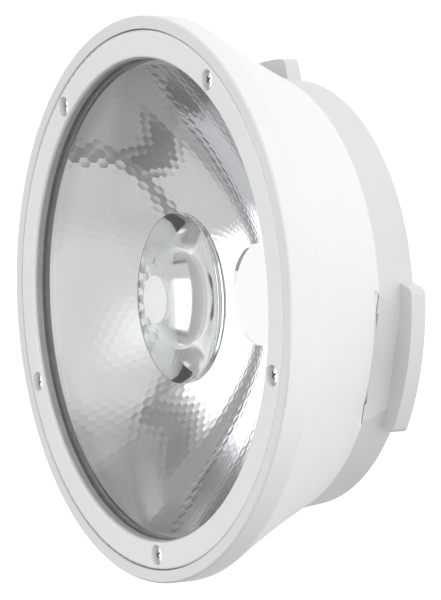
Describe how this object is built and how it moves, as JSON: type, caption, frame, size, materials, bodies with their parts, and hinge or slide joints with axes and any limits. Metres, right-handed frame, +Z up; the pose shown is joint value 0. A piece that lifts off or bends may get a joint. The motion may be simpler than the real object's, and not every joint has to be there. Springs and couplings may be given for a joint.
{
  "type": "studio spotlight reflector head",
  "caption": "Clip-on spot optic for a studio lamp: white tapered housing, faceted mirror bowl, clear cover with a centre lens, and a rear twist-lock ring with finger grips.",
  "frame": {"origin": "centre of the mouth of the rear lamp bore, on the optical axis", "axes": "+Y along the optical axis towards the lamp, so the light leaves towards -Y; +Z up"},
  "size_m": [0.152, 0.048, 0.152],
  "materials": {
    "white_plastic": "fine satin grain",
    "sleeve_plastic": "satin",
    "slip_plastic": "smooth",
    "clear_plastic": "clear, polished",
    "mirror_film": "bright aluminised facets",
    "bright_steel": "bright plated",
    "ring_steel": "brushed",
    "seal_rubber": "matt",
    "brass": "machined"
  },
  "bodies": {
    "optic_head": {"housing_shell": "white_plastic", "bezel_ring": "white_plastic", "bezel_screws": "bright_steel", "front_cover": "clear_plastic", "cover_gasket": "seal_rubber", "reflector": "mirror_film", "collimator_lens": "clear_plastic", "mount_sleeve": "sleeve_plastic", "sleeve_inserts": "brass", "sleeve_screws": "bright_steel", "lamp_seat_pad": "seal_rubber", "friction_washer": "slip_plastic", "stop_pin": "bright_steel", "retaining_ring": "ring_steel", "retaining_screws": "bright_steel"},
    "lock_ring": {"lock_ring": "white_plastic", "claw_plate": "ring_steel", "claw_inserts": "brass", "claw_screws": "bright_steel"}
  },
  "joints": [
    {"name": "lock_ring_turn", "type": "hinge", "parent": "optic_head", "child": "lock_ring", "pos_m": [0, 0, 0], "axis": [0, 1, 0], "range_deg": [0, 32]}
  ]
}
